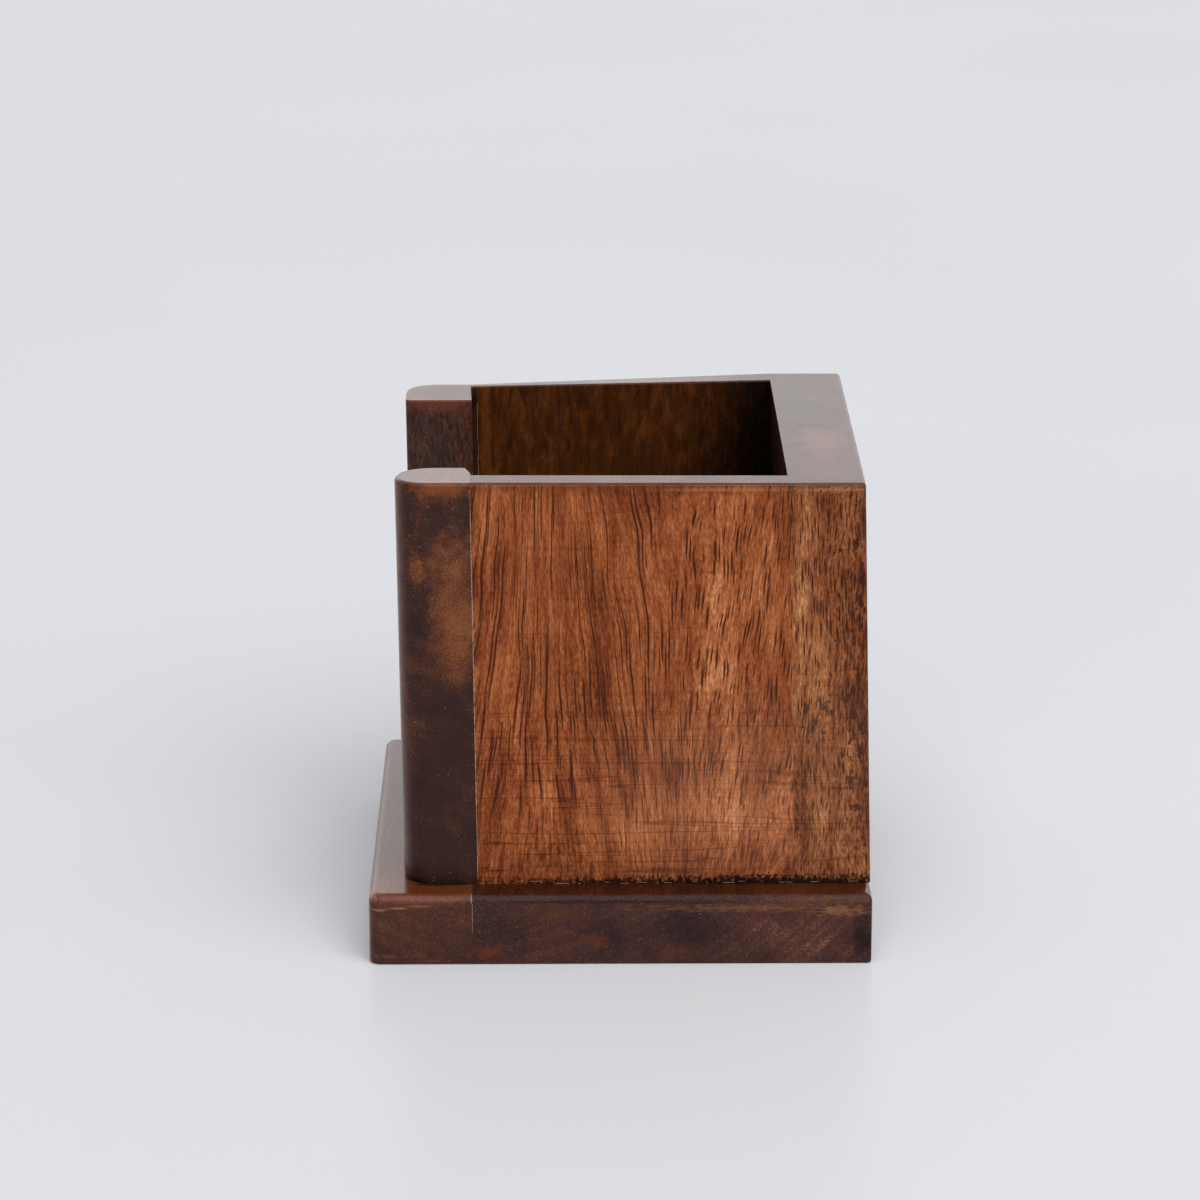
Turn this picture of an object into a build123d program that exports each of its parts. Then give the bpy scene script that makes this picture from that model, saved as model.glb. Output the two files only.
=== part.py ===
from build123d import *
import os

# Pen holder: an open wooden box, glued and dowelled together on a wider two-board base.
# Millimetres. +Z is up, the notched front faces -Y, and the origin is the centre of the
# base's underside.

# Base, glued up edge to edge from a narrow front board and a broad rear board
base_width = 106.0
base_depth = 103.0
base_thickness = 15.0
base_front_depth = 21.2
base_top_round = 1.8
base_front_corner_round = 2.5
base_back_corner_round = 1.0
base_foot_round = 0.6

# Walls, standing flush with the base at the back and set in from its other three edges
front_ledge = 7.0
side_ledge = 7.0
wall_height = 85.0
front_thickness = 15.3
back_thickness = 15.5
side_thickness = 7.0
front_corner_round = 6.2
back_corner_round = 1.0
top_round = 0.8
inner_top_round = 0.4

# Notch in the front board, open at the top between two cheeks
cheek_width = 14.2
sill_height = 40.0
notch_corner_round = 10.0
left_nose_round = 1.0
right_nose_round = 7.5
nose_blend_length = 30.0
cheek_bevel_depth = 1.4
cheek_bevel_land = 1.5
bevel_overshoot = 0.5
left_cheek_top_round = 0.35

# How far the hand-made walls are from square: the tops of the front and back boards lean
# towards the front, the front thins out from its middle to its left end, the rim rises or falls
# at its four corners and dips on the left cheek beside the notch, and the left panel's top is
# twisted, its inner edge standing higher at the front
front_lean = 1.1
back_lean = 2.2
front_left_thinning = 1.4
left_cheek_dip = 0.4
rise_right_front = 0.1
rise_right_back = -0.1
rise_left_front = -1.45
rise_left_back = 1.0
left_panel_twist = 1.25

# Dowels: stout ones in the base, thin ones through the ends of the side panels
dowel_diameter = 6.0
dowel_wall_reach = 12.0
dowel_base_cover = 4.0
dowel_end_margin = 12.0
joint_dowel_reach = 12.0
joint_dowel_offset = 22.0
side_dowel_diameter = 4.0
side_dowel_panel_reach = 9.0
side_dowel_board_cover = 5.5
side_dowel_low = 22.0
side_dowel_spacing = 42.0
dowel_end_chamfer = 0.6
glue_gap = 0.1
glue_pocket = 0.8

# Places that follow from the sizes above
box_width = base_width - 2 * side_ledge
front_foot_y = -base_depth / 2 + front_ledge
back_foot_y = base_depth / 2
seam_y = -base_depth / 2 + base_front_depth
notch_width = box_width - 2 * cheek_width
sill_z = base_thickness + sill_height
rim_z = base_thickness + wall_height
cut_overshoot = wall_height / 2
same_place = 1e-3


def front_face_y(z):
    return front_foot_y - front_lean * (z - base_thickness) / wall_height


def front_rear_y(z, x=0.0):
    thinning = front_left_thinning * max(0.0, -x) / (box_width / 2)
    return front_face_y(z) + front_thickness - thinning


def back_face_y(z):
    return back_foot_y - back_lean * (z - base_thickness) / wall_height


def back_inner_y(z):
    return back_face_y(z) - back_thickness


def rim_line(rise_left, rise_right):
    """The height of a board's sloping top at any place across the box."""

    def height(x):
        middle = (rise_left + rise_right) / 2
        return rim_z + middle + (rise_right - rise_left) * x / box_width

    return height


front_line = rim_line(rise_left_front, rise_right_front)
back_rim = rim_line(rise_left_back, rise_right_back)


def front_rim(x):
    """The height of the front's top, which falls away towards the notch on the left cheek."""
    past_notch_edge = (x + notch_width / 2) / cheek_width
    share = 1 + past_notch_edge if past_notch_edge < 0 else max(0.0, 1 - past_notch_edge)
    return front_line(x) - left_cheek_dip * share


def prism(points, direction, length):
    """A closed outline pushed out equally both ways along one direction."""
    outline = make_face(Polyline(*points, close=True))
    return extrude(outline, amount=length / 2, dir=direction, both=True)


def edges_at(solid, is_wanted):
    """The edges whose middle points pass a test."""
    return ShapeList([edge for edge in solid.edges() if is_wanted(edge @ 0.5)])


def close_to(a, b):
    return abs(a - b) < same_place


# Dowels and the holes that they are glued into


def rod(start, direction, length, diameter):
    middle = Vector(start) + Vector(direction) * (length / 2)
    plane = Plane(origin=middle, z_dir=direction)
    return plane * Cylinder(diameter / 2, length)


def dowel(start, direction, length, diameter):
    """A round pin with both ends chamfered."""
    pin = rod(start, direction, length, diameter)
    return chamfer(pin.edges().filter_by(GeomType.CIRCLE), dowel_end_chamfer)


def dowel_hole(start, direction, length, diameter):
    """The bore for a dowel: a little wider, and longer at both ends for spare glue."""
    bottom = Vector(start) - Vector(direction) * glue_pocket
    return rod(bottom, direction, length + 2 * glue_pocket, diameter + 2 * glue_gap)


wall_dowel_x = box_width / 2 - dowel_end_margin
wall_dowel_bottom = dowel_base_cover + glue_pocket
wall_dowel_length = base_thickness - wall_dowel_bottom + dowel_wall_reach
joint_dowel_x = wall_dowel_x - joint_dowel_offset
side_dowel_x = box_width / 2 - side_thickness / 2
side_dowel_heights = [base_thickness + side_dowel_low + side_dowel_spacing * i for i in range(2)]


def wall_pins(y):
    """Upright pins between the base and the foot of a wall."""
    return [
        ((side * wall_dowel_x, y, wall_dowel_bottom), (0, 0, 1), wall_dowel_length, dowel_diameter)
        for side in (-1, 1)
    ]


def joint_pins():
    """Level pins across the glue seam of the base."""
    start_y = seam_y - joint_dowel_reach
    length = 2 * joint_dowel_reach
    return [
        ((side * joint_dowel_x, start_y, base_thickness / 2), (0, 1, 0), length, dowel_diameter)
        for side in (-1, 1)
    ]


def side_pins(side):
    """Level pins from the front and back boards into both ends of one side panel."""
    pins = []
    for z in side_dowel_heights:
        front_start = front_face_y(z) + side_dowel_board_cover + glue_pocket
        front_end = front_rear_y(z) + side_dowel_panel_reach
        back_start = back_inner_y(z) - side_dowel_panel_reach
        back_end = back_face_y(z) - side_dowel_board_cover - glue_pocket
        for start, end in ((front_start, front_end), (back_start, back_end)):
            pins.append(((side * side_dowel_x, start, z), (0, 1, 0), end - start, side_dowel_diameter))
    return pins


front_pins = wall_pins(front_foot_y + front_thickness / 2)
back_pins = wall_pins(back_foot_y - back_thickness / 2)
base_pins = joint_pins() + front_pins + back_pins


def drilled(solid, pins):
    """A board with the holes for all of the pins that reach into it."""
    for pin in pins:
        solid = solid - dowel_hole(*pin)
    return solid


# Base boards


def base_board(front_y, back_y, corner_y, corner_round):
    """One board of the base, rounded at its two free corners and along its free edges."""
    middle_y = (front_y + back_y) / 2
    board = Pos(0, middle_y, base_thickness / 2) * Box(base_width, back_y - front_y, base_thickness)
    corners = edges_at(board, lambda p: close_to(p.Y, corner_y) and close_to(abs(p.X), base_width / 2))
    board = fillet(corners, corner_round)
    for z, radius in ((base_thickness, base_top_round), (0, base_foot_round)):
        rim = edges_at(board, lambda p: close_to(p.Z, z) and not close_to(p.Y, seam_y))
        board = fillet(rim, radius)
    return drilled(board, base_pins)


def base_front_board():
    return base_board(-base_depth / 2, seam_y, -base_depth / 2, base_front_corner_round)


def base_rear_board():
    return base_board(seam_y, base_depth / 2, base_depth / 2, base_back_corner_round)


# Walls


def leaning_board(near_y, far_y, rim, bends=()):
    """A full-width wall between two leaning faces, its top sloped across the box."""
    top_z = rim_z + cut_overshoot
    profile = [(0, face(z), z) for face, z in (
        (near_y, base_thickness), (far_y, base_thickness), (far_y, top_z), (near_y, top_z))]
    board = prism(profile, (1, 0, 0), box_width)
    reach = box_width
    above = [(x, 0, rim(x)) for x in (-reach, *bends, reach)]
    above += [(x, 0, top_z + cut_overshoot) for x in (reach, -reach)]
    return board - prism(above, (0, 1, 0), 2 * base_depth)


def notch_cutter():
    """The space between the cheeks, with round lower corners, longer than the board is thick."""
    height = wall_height - sill_height + cut_overshoot
    through = 4 * (front_thickness + front_lean)
    block = Pos(0, front_foot_y, sill_z + height / 2) * Box(notch_width, through, height)
    lower = edges_at(block, lambda p: close_to(p.Z, sill_z) and close_to(abs(p.X), notch_width / 2))
    return fillet(lower, notch_corner_round)


def in_notch(p):
    return abs(p.X) < notch_width / 2 + same_place and p.Z > sill_z - same_place


def thinning_cutter():
    """What was planed off the front's rear face, from the middle of the box to its left end."""
    behind_y = front_rear_y(rim_z) + cut_overshoot
    outline = [(0, front_rear_y(rim_z), rim_z), (-box_width, front_rear_y(rim_z, -box_width), rim_z),
               (-box_width, behind_y, rim_z), (0, behind_y, rim_z)]
    up_the_face = Vector(0, -front_lean, wall_height).normalized()
    return prism(outline, up_the_face, 4 * wall_height)


def bevel_cutter():
    """What was carved off the right cheek's inner corner: wide at the rim, gone at the notch's foot."""
    rear_y = front_rear_y(rim_z)
    notch_x = notch_width / 2
    start_x = notch_x - bevel_overshoot
    end_x = box_width / 2 - side_thickness - cheek_bevel_land
    start_depth = cheek_bevel_depth * (end_x - start_x) / (end_x - notch_x)
    outline = [(end_x, rear_y, rim_z), (start_x, rear_y - start_depth, rim_z),
               (start_x, rear_y + cut_overshoot, rim_z), (end_x, rear_y + cut_overshoot, rim_z)]
    rise = wall_height - sill_height - notch_corner_round
    lean = front_lean * rise / wall_height
    up_the_bevel = Vector(0, -lean - cheek_bevel_depth, rise).normalized()
    return prism(outline, up_the_bevel, 4 * wall_height)


def notched_front():
    """The front with its notch cut and its rear planed and carved, its front edges still square."""
    bends = (-notch_width / 2, -notch_width / 2 + cheek_width)
    board = leaning_board(front_face_y, front_rear_y, front_rim, bends)
    return board - thinning_cutter() - notch_cutter() - bevel_cutter()


def nosed_end(board, side, nose_round):
    """One end of the front, out from the middle of its sill, with its notch edge rounded."""
    middle_x = side * (nose_blend_length + box_width) / 2
    end = board & Pos(middle_x, 0, rim_z / 2) * Box(box_width, 2 * base_depth, 2 * rim_z)
    notch_edges = edges_at(end, lambda p: in_notch(p) and close_to(p.Y, front_face_y(p.Z)))
    return fillet(notch_edges, nose_round)


def front_board():
    """The front, its notch edge blending from a slight round on the left to a full nose on the right."""
    blank = notched_front()
    left = nosed_end(blank, -1, left_nose_round)
    right = nosed_end(blank, 1, right_nose_round)
    middle = loft([left.faces().sort_by(Axis.X)[-1], right.faces().sort_by(Axis.X)[0]], ruled=True)
    board = left + middle + right
    board = fillet(edges_at(board, lambda p: close_to(abs(p.X), box_width / 2)
                            and close_to(p.Y, front_face_y(p.Z))), front_corner_round)
    for side, radius in ((1, top_round), (-1, left_cheek_top_round)):
        top = edges_at(board, lambda p: close_to(p.Z, front_rim(p.X)) and side * p.X > 0
                       and p.Y < front_rear_y(p.Z, p.X) - cheek_bevel_depth)
        board = fillet(top, radius)
    return drilled(board, front_pins + side_pins(-1) + side_pins(1))


def back_board():
    board = leaning_board(back_inner_y, back_face_y, back_rim)
    board = fillet(edges_at(board, lambda p: close_to(abs(p.X), box_width / 2)
                            and close_to(p.Y, back_face_y(p.Z))), back_corner_round)
    board = fillet(edges_at(board, lambda p: close_to(p.Z, back_rim(p.X))
                            and p.Y > back_inner_y(p.Z) + same_place), top_round)
    return drilled(board, back_pins + side_pins(-1) + side_pins(1))


def side_panel(side, front_rise, back_rise, front_twist):
    """A thin panel butted between the front and back boards, flush with their ends."""
    outer_x = side * box_width / 2
    inner_x = side * (box_width / 2 - side_thickness)

    def end_face(face_y, outer_z, inner_z):
        corners = ((outer_x, base_thickness), (inner_x, base_thickness),
                   (inner_x, inner_z), (outer_x, outer_z))
        return make_face(Polyline(*[(x, face_y(z, x), z) for x, z in corners], close=True))

    front_z = rim_z + front_rise
    back_z = rim_z + back_rise
    panel = loft([end_face(front_rear_y, front_z, front_z + front_twist),
                  end_face(lambda z, x: back_inner_y(z), back_z, back_z)], ruled=True)
    for x, radius in ((outer_x, top_round), (inner_x, inner_top_round)):
        top = edges_at(panel, lambda p: close_to(p.X, x)).sort_by(Axis.Z)[-1]
        panel = fillet(top, radius)
    return drilled(panel, side_pins(side))


def dowels(pins):
    return Compound(children=[dowel(*pin) for pin in pins])


subparts = {
    "base_front_board": base_front_board(),
    "base_rear_board": base_rear_board(),
    "front_board": front_board(),
    "back_board": back_board(),
    "left_side_panel": side_panel(-1, rise_left_front, rise_left_back, left_panel_twist),
    "right_side_panel": side_panel(1, rise_right_front, rise_right_back, 0.0),
    "base_joint_dowels": dowels(joint_pins()),
    "front_board_dowels": dowels(front_pins),
    "back_board_dowels": dowels(back_pins),
    "left_side_dowels": dowels(side_pins(-1)),
    "right_side_dowels": dowels(side_pins(1)),
}

os.makedirs("parts", exist_ok=True)
for name, solid in subparts.items():
    export_step(solid, f"parts/{name}.step")
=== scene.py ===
"""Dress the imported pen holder: stained hardwood boards, glue dried in their joints and a pale studio.

The frame is in metres, with +Z up, the notched front facing -Y and the right side panel at +X.
Sizes here are written in millimetres and turned to metres where Blender needs them.
"""

import logging
import math
import random
from dataclasses import dataclass
from enum import Enum
from functools import partial

import bpy
from mathutils import Matrix, Vector


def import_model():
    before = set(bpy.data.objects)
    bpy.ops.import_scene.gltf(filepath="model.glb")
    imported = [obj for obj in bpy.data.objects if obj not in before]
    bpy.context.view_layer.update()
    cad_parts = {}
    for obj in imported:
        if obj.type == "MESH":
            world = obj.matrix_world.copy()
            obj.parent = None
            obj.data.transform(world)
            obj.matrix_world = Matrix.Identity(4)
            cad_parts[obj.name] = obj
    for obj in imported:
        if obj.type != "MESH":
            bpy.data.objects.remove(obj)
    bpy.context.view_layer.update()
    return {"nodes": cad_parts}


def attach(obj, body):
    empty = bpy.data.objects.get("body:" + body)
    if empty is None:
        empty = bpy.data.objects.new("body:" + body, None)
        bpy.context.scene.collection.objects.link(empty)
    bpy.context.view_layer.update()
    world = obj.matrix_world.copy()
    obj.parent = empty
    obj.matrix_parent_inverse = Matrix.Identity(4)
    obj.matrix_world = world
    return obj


MM = 0.001
log = logging.getLogger("pen_holder")

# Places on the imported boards, in millimetres from the middle of the base's underside
BASE_SIDE = 53.0
BOX_SIDE = 46.0
WELL_SIDE = 39.0
NOTCH_SIDE = 31.8
BASE_SEAM = -30.3
# Half-way up the walls, about which the fibres lean and dive
MIDDLE_HEIGHT = 57.0
# What Blender's noise swings about, and the tone half-way from dark to pale
NOISE_MIDDLE = 0.5
MIDDLE_TONE = 0.5

Pair = tuple[float, float]
Triple = tuple[float, float, float]
Tree = bpy.types.NodeTree
Socket = bpy.types.NodeSocket


def linear_colour(code: str) -> tuple[float, float, float, float]:
    """Turn an sRGB hex colour into a linear colour.

    Args:
        code: Six hex digits, two each for red, green and blue.

    Returns:
        Linear red, green, blue and an alpha of one.
    """
    channels = [int(code[i:i + 2], 16) / 255 for i in (0, 2, 4)]
    linear = [c / 12.92 if c <= 0.04045 else ((c + 0.055) / 1.055) ** 2.4 for c in channels]
    return (*linear, 1.0)


def add_node(tree: Tree, kind: str, inputs: dict | None = None, out: int | str = 0,
             **settings: object) -> Socket:
    """Add one node, with its settings and links.

    Args:
        tree: The node tree that gets the node.
        kind: Blender's name for the type of node.
        inputs: Sockets to link or constants to set, by the input's name or number.
        out: The name or number of the output to return.
        settings: Properties of the node itself.

    Returns:
        The chosen output of the new node.
    """
    node = tree.nodes.new(kind)
    for name, value in settings.items():
        setattr(node, name, value)
    for key, value in (inputs or {}).items():
        if isinstance(value, Socket):
            tree.links.new(value, node.inputs[key])
        else:
            node.inputs[key].default_value = value
    return node.outputs[out]


class Grain(Enum):
    """Which way the wood's fibres run: the frame's axes for across, through and along the grain."""

    UPRIGHT = (1, 0, 2)
    SIDEWAYS = (1, 2, 0)


class Facing(Enum):
    """Which way a surface looks, as a direction in the frame."""

    ANY = (0.0, 0.0, 0.0)
    RIGHT = (1.0, 0.0, 0.0)
    LEFT = (-1.0, 0.0, 0.0)
    FRONT = (0.0, -1.0, 0.0)
    BACK = (0.0, 1.0, 0.0)


@dataclass(frozen=True)
class Patch:
    """A local change of the wood's tone, an ellipsoid with ragged edges, in millimetres.

    A positive shift is paler wood and a negative one is darker. A colour, where there is one, is
    laid over the wood instead, as grime, bare fibre, painted shade or painted sheen is. The core is
    the share of the reach that has the full effect, fray is the width of the shreds at the edge, and
    drawn is how many times as tall as wide they are. Where the patch has a facing, only the surfaces
    that look that way take it.
    """

    centre: Triple
    reach: Triple
    shift: float
    colour: str = ""
    ragged: float = 0.8
    core: float = 0.1
    fray: float = 1.7
    drawn: float = 1.0
    facing: Facing = Facing.ANY


def flat_patch(x: float, y: float, z: float, wide: float, tall: float, shift: float,
               colour: str = "", depth: float = 5.0, **edge: float | Facing) -> Patch:
    """Place a patch on a face that looks to the side.

    Args:
        x: Where the face is.
        y: The middle's place from front to back.
        z: The middle's height.
        wide: How far the patch reaches to the front and to the back.
        tall: How far it reaches up and down.
        shift: The change of tone, or the strength of the colour.
        colour: The colour to lay over the wood, if any.
        depth: How far the patch reaches into the board.
        edge: What shapes the patch's edge, and its facing.

    Returns:
        The patch.
    """
    return Patch((x, y, z), (depth, wide, tall), shift, colour, **edge)


# The faces that have patches: the box's right side, the base's right end and the left inner faces
on_side = partial(flat_patch, BOX_SIDE)
on_side_edge = partial(flat_patch, BOX_SIDE, depth=4.0)
on_base_end = partial(flat_patch, BASE_SIDE, depth=4.0)
on_far_cheek = partial(flat_patch, -NOTCH_SIDE, depth=3.0)
in_well = partial(flat_patch, -WELL_SIDE, depth=50.0, facing=Facing.RIGHT)
by_well_joint = partial(flat_patch, -WELL_SIDE, depth=4.0, facing=Facing.RIGHT)


@dataclass(frozen=True)
class Streaks:
    """A layer of noise in the wood: its width across the grain, its length along it, and its weight."""

    across: float
    along: float
    weight: float


@dataclass(frozen=True)
class StainedWood:
    """Open-pored tropical hardwood, sawn, sanded, stained walnut brown and sealed with satin lacquer.

    The stain darkens the open vessels, which show as fine dark lines along the grain and as dots
    on the end grain, and the lacquer gives dark edges a grey sheen at a low angle.

    Lengths are in millimetres, rates in waves per millimetre. Tones run from nought, the darkest
    colour, to one, the palest. The fibres lean in a wave across the board, sway from side to side
    and dive out of the surface, more so towards the back and low down, which cuts the vessels
    short. Vessels fade to a share of their strength, low_vessels, down through low_zone, and saw
    marks gain strength down through scratch_zone. Real vessels, fine fibres and the grit of end
    grain are too fine to show at this distance, so they are drawn up to twice as coarse.
    """

    name: str
    grain: Grain
    offset: Triple
    face_tones: tuple[str, ...]
    end_tones: tuple[str, ...]
    vessel_colour: str
    speck_colour: str = "A89080"
    speck_share: float = 0.03
    speck_strength: float = 0.2
    vessel_strength: float = 0.97
    low_vessels: float = 1.0
    low_zone: Pair = (38.0, 26.0)
    pore_depth: float = 1.0
    halo_depth: float = 0.12
    vessel_pitch: float = 0.75
    vessel_length: float = 30.0
    vessel_radius: Pair = (0.06, 0.25)
    vessel_core: float = 0.6
    vessel_halo: float = 2.4
    lean: float = 0.0
    lean_wave: Pair = (11.3, 54.0)
    sway: float = 1.7
    sway_through: float = 0.1
    sway_size: Pair = (8.0, 21.0)
    dive_range: Pair = (0.0, 20.0)
    dive: Pair = (0.01, 0.09)
    low_dive: float = 0.001
    face_streaks: tuple[Streaks, ...] = (
        Streaks(5.0, 25.0, 0.9), Streaks(1.0, 9.0, 0.5), Streaks(0.4, 4.0, 0.55),
        Streaks(0.25, 1.2, 0.95))
    end_streaks: tuple[Streaks, ...] = (
        Streaks(8.0, 8.0, 0.8), Streaks(2.2, 2.2, 0.3), Streaks(0.4, 0.4, 0.8))
    end_range: Pair = (0.35, 0.8)
    ring_spacing: float = 4.2
    ring_weight: float = 0.25
    pith: Pair = (-60.0, -40.0)
    scratches: float = 0.0
    high_scratches: float = 0.25
    scratch_zone: Pair = (55.0, 35.0)
    scratch_rate: Triple = (0.02, 0.012, 0.5)
    scratch_edge: Pair = (0.022, 0.004)
    shred_roughness: float = 0.7
    facing_range: Pair = (0.5, 0.9)
    roughness: Pair = (0.25, 0.5)
    ior: float = 1.3
    ripple_rate: Triple = (0.3, 0.3, 0.03)
    groove_depth: float = 0.05
    bump_strength: float = 0.6
    grit: float = 0.0
    grit_size: float = 0.5
    patches: tuple[Patch, ...] = ()

    def material(self) -> bpy.types.Material:
        """Make the finish as a Blender material.

        Returns:
            The new material.
        """
        material = bpy.data.materials.new(self.name)
        material.use_nodes = True
        tree = material.node_tree
        shader = tree.nodes["Principled BSDF"]
        coords = add_node(tree, "ShaderNodeTexCoord", out="Object")
        place = add_node(tree, "ShaderNodeVectorMath", {0: coords, "Scale": 1 / MM}, operation="SCALE")
        fibres = self.grain_space(tree, place)
        vessels, halo, cell = self.vessels(tree, fibres)
        shift, overlays = self.patch_masks(tree, place)
        if self.scratches:
            shift = self.scratched(tree, place, shift)
        stained = add_node(tree, "ShaderNodeMath", {0: halo, 1: -self.halo_depth, 2: shift},
                           operation="MULTIPLY_ADD")
        face = self.toned(tree, self.layered(tree, fibres, self.face_streaks, stained), self.face_tones)
        dark = self.vessel_darkness(tree, place, vessels)
        face = add_node(tree, "ShaderNodeMix", {0: dark, 6: face, 7: linear_colour(self.vessel_colour)},
                        out=2, data_type="RGBA")
        end = self.end_colour(tree, place, vessels, cell, shift)
        ends = self.end_share(tree)
        colour = add_node(tree, "ShaderNodeMix", {0: ends, 6: face, 7: end}, out=2, data_type="RGBA")
        for mask, code in overlays:
            colour = add_node(tree, "ShaderNodeMix", {0: mask, 6: colour, 7: linear_colour(code)},
                              out=2, data_type="RGBA")
        tree.links.new(colour, shader.inputs["Base Color"])
        self.lacquer(tree, shader, place, fibres, vessels, ends)
        return material

    def grain_space(self, tree: Tree, place: Socket) -> Socket:
        """Turn a place on the board into a place among its leaning, swaying, diving fibres.

        Args:
            tree: The material's node tree.
            place: The place in the frame, in millimetres.

        Returns:
            The place across, through and along the grain, in millimetres.
        """
        axes = add_node(tree, "ShaderNodeSeparateXYZ", {0: place}).node.outputs
        across, through, along = (axes[axis] for axis in self.grain.value)
        straight = add_node(tree, "ShaderNodeCombineXYZ", {0: across, 1: through, 2: along})
        straight = add_node(tree, "ShaderNodeVectorMath", {0: straight, 1: self.offset}, operation="ADD")
        width, length = self.sway_size
        wander = add_node(tree, "ShaderNodeVectorMath",
                          {0: straight, 1: (1 / width, 1 / width, 1 / length)}, operation="MULTIPLY")
        wander = add_node(tree, "ShaderNodeTexNoise", {"Vector": wander, "Scale": 1.0, "Detail": 1.5},
                          out="Color")
        wander = add_node(tree, "ShaderNodeVectorMath", {0: wander, 1: (NOISE_MIDDLE,) * 3},
                          operation="SUBTRACT")
        sway = 2 * self.sway
        swaying = add_node(tree, "ShaderNodeVectorMath",
                           {0: wander, 1: (sway, self.sway_through * sway, 0.0), 2: straight},
                           operation="MULTIPLY_ADD")
        first, period = self.lean_wave
        height = add_node(tree, "ShaderNodeMath", {0: along, 1: MIDDLE_HEIGHT}, operation="SUBTRACT")
        lean = add_node(tree, "ShaderNodeMath", {0: across, 1: first}, operation="SUBTRACT")
        lean = add_node(tree, "ShaderNodeMath", {0: lean, 1: math.tau / period}, operation="MULTIPLY")
        lean = add_node(tree, "ShaderNodeMath", {0: lean}, operation="SINE")
        lean = add_node(tree, "ShaderNodeMath", {0: lean, 1: -self.lean}, operation="MULTIPLY")
        lean = add_node(tree, "ShaderNodeMath", {0: lean, 1: height}, operation="MULTIPLY")
        slope = add_node(tree, "ShaderNodeMapRange",
                         {"Value": across, "From Min": self.dive_range[0],
                          "From Max": self.dive_range[1], "To Min": self.dive[0],
                          "To Max": self.dive[1]}, interpolation_type="SMOOTHSTEP")
        low = add_node(tree, "ShaderNodeMath", {0: height, 1: 0.0}, operation="MINIMUM")
        low = add_node(tree, "ShaderNodeMath", {0: low, 1: low}, operation="MULTIPLY")
        low = add_node(tree, "ShaderNodeMath", {0: low, 1: -self.low_dive}, operation="MULTIPLY")
        dive = add_node(tree, "ShaderNodeMath", {0: slope, 1: height, 2: low}, operation="MULTIPLY_ADD")
        bent = add_node(tree, "ShaderNodeCombineXYZ", {0: lean, 1: dive})
        return add_node(tree, "ShaderNodeVectorMath", {0: swaying, 1: bent}, operation="ADD")

    def vessels(self, tree: Tree, fibres: Socket) -> tuple[Socket, Socket, Socket]:
        """Find the open vessels, thin tubes along the grain that the stain has filled.

        Args:
            tree: The material's node tree.
            fibres: The place among the fibres.

        Returns:
            How much of a vessel shows there, how far its stain has spread there, and a random vector
            of that vessel's own.
        """
        pitch, length = self.vessel_pitch, self.vessel_length
        cells = add_node(tree, "ShaderNodeVectorMath",
                         {0: fibres, 1: (1 / pitch, 1 / pitch, 1 / length)}, operation="MULTIPLY")
        middle = add_node(tree, "ShaderNodeTexVoronoi", {"Vector": cells, "Scale": 1.0}, out="Position")
        cell = add_node(tree, "ShaderNodeSeparateXYZ", {0: middle.node.outputs["Color"]})
        away = add_node(tree, "ShaderNodeVectorMath", {0: cells, 1: middle}, operation="SUBTRACT")
        away = add_node(tree, "ShaderNodeVectorMath", {0: away, 1: (pitch, pitch, 0.0)},
                        operation="MULTIPLY")
        away = add_node(tree, "ShaderNodeVectorMath", {0: away}, out="Value", operation="LENGTH")
        low, high = self.vessel_radius
        rim = add_node(tree, "ShaderNodeMapRange", {"Value": cell, "To Min": low, "To Max": high})
        core = add_node(tree, "ShaderNodeMath", {0: rim, 1: self.vessel_core}, operation="MULTIPLY")
        spread = add_node(tree, "ShaderNodeMath", {0: rim, 1: self.vessel_halo}, operation="MULTIPLY")
        shown = add_node(tree, "ShaderNodeMapRange", {"Value": away, "From Min": rim, "From Max": core},
                         interpolation_type="SMOOTHSTEP")
        halo = add_node(tree, "ShaderNodeMapRange", {"Value": away, "From Min": spread, "From Max": rim},
                        interpolation_type="SMOOTHSTEP")
        return shown, halo, cell

    def vessel_darkness(self, tree: Tree, place: Socket, vessels: Socket) -> Socket:
        """Tell how dark the vessels are on long grain, where they fade low on the board.

        Args:
            tree: The material's node tree.
            place: The place in the frame, in millimetres.
            vessels: How much of a vessel shows there.

        Returns:
            The share of the vessels' colour.
        """
        height = add_node(tree, "ShaderNodeSeparateXYZ", {0: place}, out="Z")
        high, low = self.low_zone
        strength = add_node(tree, "ShaderNodeMapRange",
                            {"Value": height, "From Min": high, "From Max": low,
                             "To Min": self.vessel_strength,
                             "To Max": self.low_vessels * self.vessel_strength})
        return add_node(tree, "ShaderNodeMath", {0: vessels, 1: strength}, operation="MULTIPLY")

    def layered(self, tree: Tree, spot: Socket, layers: tuple[Streaks, ...],
                shift: Socket | float) -> Socket:
        """Add layers of noise to the middle tone.

        Args:
            tree: The material's node tree.
            spot: The place that the noise is read at, in millimetres.
            layers: The layers' sizes and weights.
            shift: What is added to the tone besides.

        Returns:
            The tone, about a half in the middle.
        """
        tone = shift
        for layer in layers:
            stretched = add_node(tree, "ShaderNodeVectorMath",
                                 {0: spot, 1: (1 / layer.across, 1 / layer.across, 1 / layer.along)},
                                 operation="MULTIPLY")
            noise = add_node(tree, "ShaderNodeTexNoise",
                             {"Vector": stretched, "Scale": 1.0, "Detail": 2.0})
            tone = add_node(tree, "ShaderNodeMath", {0: noise, 1: layer.weight, 2: tone},
                            operation="MULTIPLY_ADD")
        surplus = NOISE_MIDDLE * sum(layer.weight for layer in layers) - MIDDLE_TONE
        return add_node(tree, "ShaderNodeMath", {0: tone, 1: surplus}, operation="SUBTRACT")

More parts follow.
